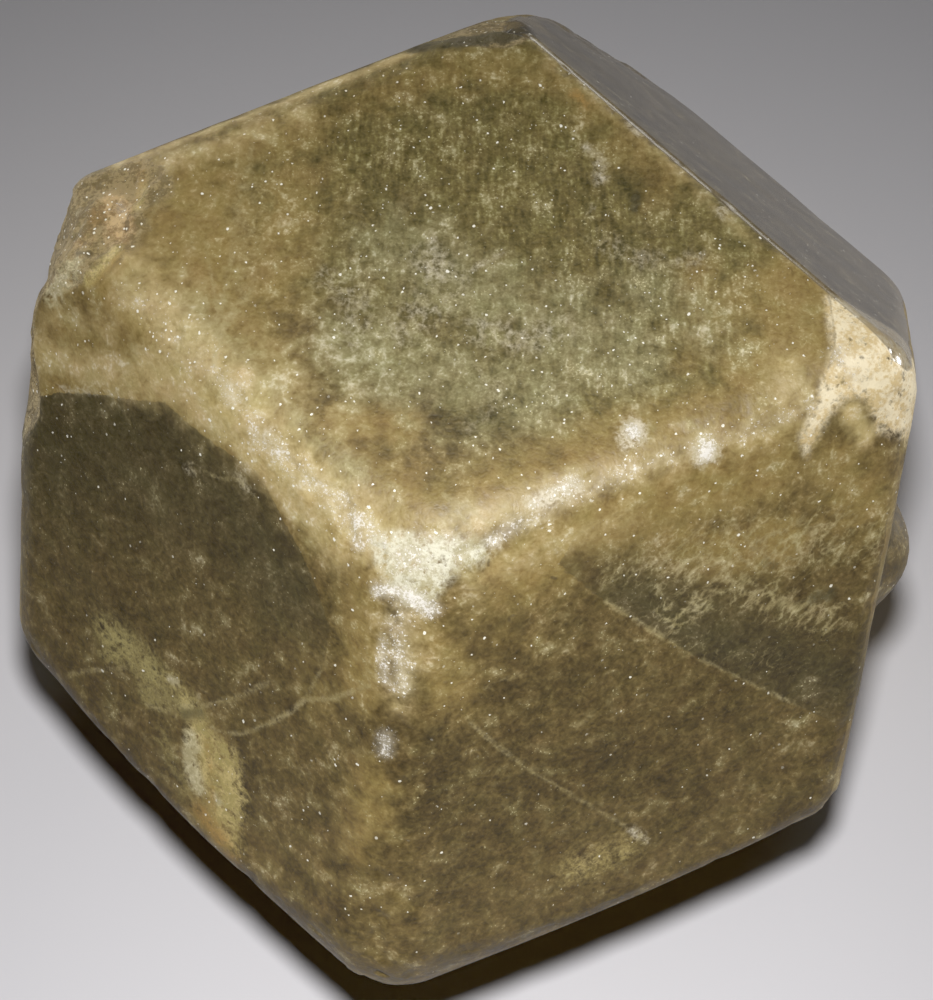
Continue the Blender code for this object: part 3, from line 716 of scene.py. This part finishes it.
# garnet, massive and worn by water: waxy olive to honey stone, clouded inside, with pale healed veins
stone = {
    # every pattern: mm across, detail, how rough that is, and along what and how many times it is drawn out
    "patterns": {
        "swell": (6.0, 3.0, 0.6, None, 1),
        "mottle": (1.5, 3.0, 0.6, None, 1),
        "grit": (0.36, 1.5, 0.6, None, 1),
        "sand": (0.15, 1.0, 0.6, None, 1),    # the finest grain that still shows
        "glitter": (0.22, 2.0, 0.9, None, 1),
        "hairs": (0.3, 1.0, 0.6, (-0.183, 0.983, 0), 4.0),
        "dashes": (0.62, 2.0, 0.6, (-0.183, 0.983, 0), 3.8),
    },
    # the same for patterns of thin bright threads
    "threads": {
        "wisps": (0.9, 4.0, 0.6, None, 1),
        "web": (0.85, 4.0, 0.62, (0.522, 0.707, 0.478), 1.4),
    },
    "ridges": {"Lacunarity": 2.1, "Offset": 0.9, "Gain": 3.0},
    "straight": ("swell", "sand", "glitter", "hairs"),    # patterns that no eddies bend
    "swirl": (1.7, 2.0, 0.5),    # eddies: mm across, detail, and how far they bend the other patterns
    "wander": 0.11,    # how far the colour goes towards pink or green
    # sums of patterns and painted values: what each starts from, and how much it takes of each
    "sums": {
        "shaded": (0.49, {"shade": -0.055}),
        "fray": (-1.17, {"wisps": 0.4, "sand": 0.6, "grit": 1.0}),
        "cloud": (0.0, {"grit": 0.6, "mottle": 1.0, "glitter": 0.5}),
        "sheenGrains": (0.0, {"mottle": 0.5, "glitter": 1.0, "frostAndSheen": 0.25}),
        "glintSpecks": (0.0, {"mottle": 0.8, "sand": 1.0, "streaks": 0.05}),
        "relief": (0.0, {"mottle": 0.9, "grit": 1.0, "sand": 0.4}),
    },
    # how much each pattern adds to the tone everywhere, and how much more on the top face
    "toneShares": {"swell": (0.34, -0.1), "mottle": (0.34, -0.06), "grit": (0.36, 0.0), "sand": (0.1, 0.12),
                   "hairs": (0.0, 0.36), "dashes": (0.0, -0.34)},
    # each kind of stone from its darkest flecks to its palest wisps
    "tones": {
        "brown": "#3b3016 0.28 #554623 0.42 #63532c 0.5 #726036 0.58 #a49263 0.78",
        "olive": "#463e1c 0.28 #60552b 0.42 #6e6135 0.5 #7c703f 0.58 #aca273 0.74",
        "honey": "#705b2d 0.26 #887240 0.42 #907b46 0.5 #9a8550 0.59 #c8b687 0.76",
        "haze": "#5e5735 0.28 #7d744c 0.42 #8a8158 0.5 #989066 0.58 #d2cbad 0.74",
        "smoke": "#322b17 0.28 #473d23 0.42 #514728 0.51 #5e5334 0.61 #8c815f 0.78",
        # the painted highlight along the upper edges, in pale honey
        "edgeSheen": "#9e8954 0.26 #b9a36d 0.42 #c2ad77 0.5 #cdb988 0.59 #f1e8cb 0.76",
        "lace": "#86774c 0.30 #a99a6c 0.5 #d6caa0 0.72",
    },
    # kinds laid over brown in turn: tones, painted value, what clouds it and by how much, the values
    # between which it comes in, how strongly it covers, and a painted value that keeps it to one place
    "layers": [
        ("olive", "streaks", "swell", 0.5, 0.3, 0.75, 1.0, None),
        ("honey", "honey", "mottle", 0.9, 0.5, 1.3, 1.0, None),
        # paler honey near hidden edges: worn stone with a painted glow of light through them
        ("honey", "edge", "swell", 1.6, 0.8, 1.9, 0.7, "unseen"),
        ("haze", "haze", "mottle", 2.0, 1.05, 2.0, 0.9, None),
        ("smoke", "zone", "grit", 0.4, 0.66, 0.76, 1.0, "smoke"),    # sharp on one side, fading on another
        # the painted highlight along the upper edges
        ("edgeSheen", "edgeSheen", "mottle", 0.8, 0.42, 1.3, 1.0, None),
        ("lace", "lace", "web", 0.8, 1.42, 2.3, 0.75, "laced"),
    ],
    # finishes laid over the stone in turn: painted value, colour, a second colour that clouds it, how much
    # its border frays, the values between which it comes in, and how strongly it covers
    "finishes": [
        ("broken", "#ad9a70", "#6d5d3c", 1.2, 0.2, 0.9, 0.7),
        ("green", "#b8aa6e", "#9b8e59", 1.6, 0.1, 1.2, 0.75),
        ("straw", "#d3bf80", "#b0a063", 1.8, 0.1, 1.1, 0.85),
        ("milk", "#dacfa6", "#b8ac82", 1.8, 0.15, 1.1, 0.85),
        ("rust", "#b68d4c", "#9c7b40", 1.8, 0.1, 1.1, 0.7),
        ("rosy", "#d2b482", "#9c8054", 1.4, 0.1, 0.9, 0.86),
        # dark spots, and painted shade on the right face
        ("dark", "#403a23", "#524b2e", 0.8, 0.3, 0.7, 0.8),
        ("vein", "#bfb082", "#a09263", 1.4, 0.15, 1.1, 0.6),
        ("cream", "#f6e7c3", "#d8c08e", 1.6, 0.0, 1.0, 0.92),
        # pale worn corner with a painted highlight
        ("chalkAndSheen", "#e2dec6", "#b0a782", 2.2, 0.0, 1.1, 0.88),
        ("pale", "#e6dcc4", "#b5a987", 2.6, 0.15, 1.3, 0.75),
        ("crack", "#4a3d26", "#5a4c30", 1.0, 0.3, 0.8, 0.6),
        ("smooth", "#57534c", "#66615a", 0.6, 0.2, 0.8, 0.5),    # painted reflection: the polished face is greyed and darkened towards the grey it mirrors
    ],
    # the values between which each of these comes in, and how strongly it does
    "fades": {
        "wisps": (1.0, 1.6, 0.07),
        "laced": (0.02, 0.3, 1.0),
        "cloud": (0.92, 1.18, 1.0),
        "sheenBloom": (0.08, 0.85, 0.75),
        "frostAndSheenReach": (0.05, 0.3, 1.0),
        "sheenGrains": (0.95, 1.14, 0.85),
        "glintSpecks": (1.14, 1.32, 0.6),
        "glint": (0.0, 0.12, 1.0),
        "crowd": (0.9, 1.01, 1.0),
    },
    "frostAndSheen": ("#cfc8b6", "#f0ebe2"),    # painted sheen on bruised edges: a pale bloom, and the bright grains in it
    # pale specks: painted small glints
    "glintSpecks": "#ddd3a6",
    "glints": "#f8f4e4",    # painted glints, where cleavage planes catch the light
    "glintCount": 3.7,    # places for one to a mm, of which few are taken
    "glintShape": (-0.38, 0.5, 0.8),    # least size, how much they vary, and how ragged they are
    # how much likelier a glint is where these are painted
    "glintCrowds": {"haze": 0.24, "streaks": 0.14, "honey": 0.12, "frostAndSheen": 0.34, "broken": 0.26,
                    "rosy": 0.24},
    "roughness": (0.48, 0.66),    # where the grit is low and high: frosted by wear
    "grit": (0.3, 0.7),
    "brokenRoughness": 0.88,
    "brokenRelief": 2.2,    # how much ridges add to the bumps there
    "polishedRoughness": 0.2,    # the face at the back, which is still smooth
    "polish": 0.85,    # and how much of the bumps it has lost
    "ior": 1.58,    # a worn skin mirrors less than a cut stone
    "bumpDepth": 0.10,    # mm
    "bumpStrength": 0.4,
}


# Mix takes numbers at 2 and 3 and colours at 6 and 7. Map Range takes a value, then from, from, to and to
def makeGarnet():
    material = bpy.data.materials.new("worn garnet")
    material.use_nodes = True
    tree = material.node_tree
    tree.nodes.clear()

    def add(*what, **settings):
        return addNode(tree, *what, **settings)

    eased = {"interpolation_type": "SMOOTHSTEP"}
    timesPlus = {"operation": "MULTIPLY_ADD"}
    fades = {name: {1: low, 2: high, 4: most} for name, (low, high, most) in stone["fades"].items()}
    here = add("TexCoord", output="Object")
    place = add("Mapping", {"Vector": here, "Scale": (1 / mm,) * 3})
    value = {name: add("Attribute", output="Fac", attribute_name=name)
             for name in [*paint, *outlines, "edge", "broken", "smooth", "unseen"]}
    value["laced"] = add("MapRange", {0: value["lace"], **fades["laced"]})

    # eddies that bend the patterns
    size, detail, reach = stone["swirl"]
    eddies = add("TexNoise", {"Vector": place, "Scale": 1 / size, "Detail": detail}, "Color")
    eddies = add("VectorMath", {0: eddies, 1: (0.5,) * 3}, operation="SUBTRACT")
    bent = add("VectorMath", {0: eddies, 1: (reach,) * 3, 2: place}, **timesPlus)

    # a pattern is drawn out along a direction by squeezing places that way
    for name, (size, detail, roughness, along, times) in {**stone["patterns"], **stone["threads"]}.items():
        spot = place if name in stone["straight"] else bent
        if along:
            share = add("VectorMath", {0: spot, 1: along}, "Value", operation="DOT_PRODUCT")
            squeeze = tuple(part * (1 / times - 1) for part in along)
            spot = add("VectorMath", {0: share, 1: squeeze, 2: spot}, **timesPlus)
        settings = {"Vector": spot, "Scale": 1 / size, "Detail": detail, "Roughness": roughness}
        if name in stone["threads"]:
            settings.update(stone["ridges"])
            value[name] = add("TexNoise", settings, noise_type="RIDGED_MULTIFRACTAL")
        else:
            value[name] = add("TexNoise", settings)
    total = {}
    for name, (start, shares) in stone["sums"].items():
        total[name] = start
        for part, share in shares.items():
            total[name] = add("Math", {0: value[part], 1: share, 2: total[name]}, **timesPlus)

    # tone: every pattern added to one value, which picks a colour from each kind of stone
    bright = add("MapRange", {0: value["wisps"], **fades["wisps"]}, **eased)
    tone = add("Math", {0: total["shaded"], 1: bright}, operation="ADD")
    for name, (share, more) in stone["toneShares"].items():
        share = add("Math", {0: value["streaks"], 1: more, 2: share}, **timesPlus)
        swing = add("Math", {0: value[name], 1: 0.5}, operation="SUBTRACT")
        tone = add("Math", {0: swing, 1: share, 2: tone}, **timesPlus)
    ramps = {}
    for name, stops in stone["tones"].items():
        ramps[name] = add("ValToRGB", {"Fac": tone})
        elements = ramps[name].node.color_ramp.elements
        shades, places = stops.split()[::2], stops.split()[1::2]
        for shade, at, stop in zip(shades, places, [*elements, *(elements.new(1) for _ in shades[2:])]):
            stop.position = float(at)
            stop.color = linearColour(shade)

    # kinds of stone
    colour = ramps["brown"]
    for tones, where, clouding, share, low, high, most, only in stone["layers"]:
        mask = add("Math", {0: value[clouding], 1: share, 2: value[where]}, **timesPlus)
        mask = add("MapRange", {0: mask, 1: low, 2: high, 4: most}, **eased)
        if only:
            mask = add("Math", {0: mask, 1: value[only]}, operation="MULTIPLY")
        colour = add("Mix", {0: mask, 6: colour, 7: ramps[tones]}, 2, data_type="RGBA")

    # the colour wanders a little between pink and green
    wander = {0: eddies, 1: (stone["wander"],) * 3, 2: (1.0,) * 3}
    wander = add("VectorMath", wander, **timesPlus)
    colour = add("VectorMath", {0: colour, 1: wander}, operation="MULTIPLY")

    # finishes, clouded in two colours
    cloud = add("MapRange", {0: total["cloud"], **fades["cloud"]}, **eased)
    for name, first, second, amount, low, high, most in stone["finishes"]:
        both = {0: cloud, 6: linearColour(first), 7: linearColour(second)}
        both = add("Mix", both, 2, data_type="RGBA")
        mask = add("Math", {0: total["fray"], 1: amount, 2: 1.0}, **timesPlus)
        mask = add("Math", {0: mask, 1: value[name]}, operation="MULTIPLY")
        mask = add("MapRange", {0: mask, 1: low, 2: high, 4: most}, **eased)
        colour = add("Mix", {0: mask, 6: colour, 7: both}, 2, data_type="RGBA")

    # paler bruised edges with a painted sheen: a bloom with a crowd of bright grains, closer together where
    # it is stronger
    sheenBloomColour, sheenGrainColour = (linearColour(shade) for shade in stone["frostAndSheen"])
    sheenBloom = add("Math", {0: value["frostAndSheen"], 1: value["mottle"]}, operation="MULTIPLY")
    sheenBloom = add("MapRange", {0: sheenBloom, **fades["sheenBloom"]}, **eased)
    colour = add("Mix", {0: sheenBloom, 6: colour, 7: sheenBloomColour}, 2, data_type="RGBA")
    sheenGrains = add("MapRange", {0: total["sheenGrains"], **fades["sheenGrains"]}, **eased)
    frostAndSheenReach = add("MapRange", {0: value["frostAndSheen"], **fades["frostAndSheenReach"]})
    sheenGrains = add("Math", {0: sheenGrains, 1: frostAndSheenReach}, operation="MULTIPLY")
    colour = add("Mix", {0: sheenGrains, 6: colour, 7: sheenGrainColour}, 2, data_type="RGBA")

    # pale specks: painted small glints
    glintSpecks = add("MapRange", {0: total["glintSpecks"], **fades["glintSpecks"]}, **eased)
    glintSpecks = {0: glintSpecks, 6: colour, 7: linearColour(stone["glintSpecks"])}
    colour = add("Mix", glintSpecks, 2, data_type="RGBA")

    # glints: painted highlights, bright points of many sizes
    least, variety, ragged = stone["glintShape"]
    near = add("TexVoronoi", {"Vector": bent, "Scale": stone["glintCount"]})
    chances = add("SeparateColor", {"Color": near.node.outputs["Color"]}).node.outputs
    near = add("Math", {0: near, 1: -1.0, 2: least}, **timesPlus)
    size = add("Math", {0: chances[1], 1: chances[2]}, operation="MULTIPLY")
    near = add("Math", {0: size, 1: variety, 2: near}, **timesPlus)
    near = add("Math", {0: value["glitter"], 1: ragged, 2: near}, **timesPlus)
    near = add("MapRange", {0: near, **fades["glint"]}, **eased)
    crowd = chances[0]
    for name, share in stone["glintCrowds"].items():
        crowd = add("Math", {0: value[name], 1: share, 2: crowd}, **timesPlus)
    crowd = add("MapRange", {0: crowd, **fades["crowd"]}, **eased)
    glint = add("Math", {0: near, 1: crowd}, operation="MULTIPLY")
    glint = {0: glint, 6: colour, 7: linearColour(stone["glints"])}
    colour = add("Mix", glint, 2, data_type="RGBA")

    # roughness: frosted by wear, dull where broken, smoother on the polished face
    (low, high), (least, most) = stone["grit"], stone["roughness"]
    rough = add("MapRange", {0: value["grit"], 1: low, 2: high, 3: least, 4: most})
    rough = {0: value["broken"], 2: rough, 3: stone["brokenRoughness"]}
    rough = add("Mix", rough, data_type="FLOAT")
    rough = {0: value["smooth"], 2: rough, 3: stone["polishedRoughness"]}
    rough = add("Mix", rough, data_type="FLOAT")

    # bumps: grit everywhere, ridges where broken, hardly any on the polished face
    ridges = add("Math", {0: value["wisps"], 1: value["broken"]}, operation="MULTIPLY")
    height = {0: ridges, 1: stone["brokenRelief"], 2: total["relief"]}
    height = add("Math", height, **timesPlus)
    worn = add("Math", {0: value["smooth"], 1: -stone["polish"], 2: 1.0}, **timesPlus)
    height = add("Math", {0: height, 1: worn}, operation="MULTIPLY")
    bump = {"Height": height, "Strength": stone["bumpStrength"], "Distance": stone["bumpDepth"] * mm}
    bump = add("Bump", bump)

    finish = {"Base Color": colour, "Roughness": rough, "Normal": bump, "IOR": stone["ior"]}
    add("OutputMaterial", {"Surface": add("BsdfPrincipled", finish)}, None)
    return material


def addCrystal():
    crystalObject = bpy.data.objects.new("garnet_looks", crystalMesh)
    bpy.context.scene.collection.objects.link(crystalObject)
    stoneCollection.objects.link(crystalObject)
    crystalMesh.materials.append(makeGarnet())
    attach(crystalObject, "root")
    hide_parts("garnet_crystal")


addCrystal()
print("crystal finished in garnet")

# floor: matt off-white card
floorCard = {"width": 1600, "colour": "#d9d7da", "roughness": 0.9}


def makeFloor():
    bm = bmesh.new()
    bmesh.ops.create_grid(bm, x_segments=1, y_segments=1, size=floorCard["width"] * mm / 2)
    mesh = bpy.data.meshes.new("floor")
    bm.to_mesh(mesh)
    bm.free()
    floorObject = bpy.data.objects.new("floor", mesh)
    bpy.context.scene.collection.objects.link(floorObject)
    material = bpy.data.materials.new("matt card")
    material.use_nodes = True
    shader = material.node_tree.nodes["Principled BSDF"]
    shader.inputs["Base Color"].default_value = linearColour(floorCard["colour"])
    shader.inputs["Roughness"].default_value = floorCard["roughness"]
    mesh.materials.append(material)


makeFloor()
print("floor laid")

print("scene done")
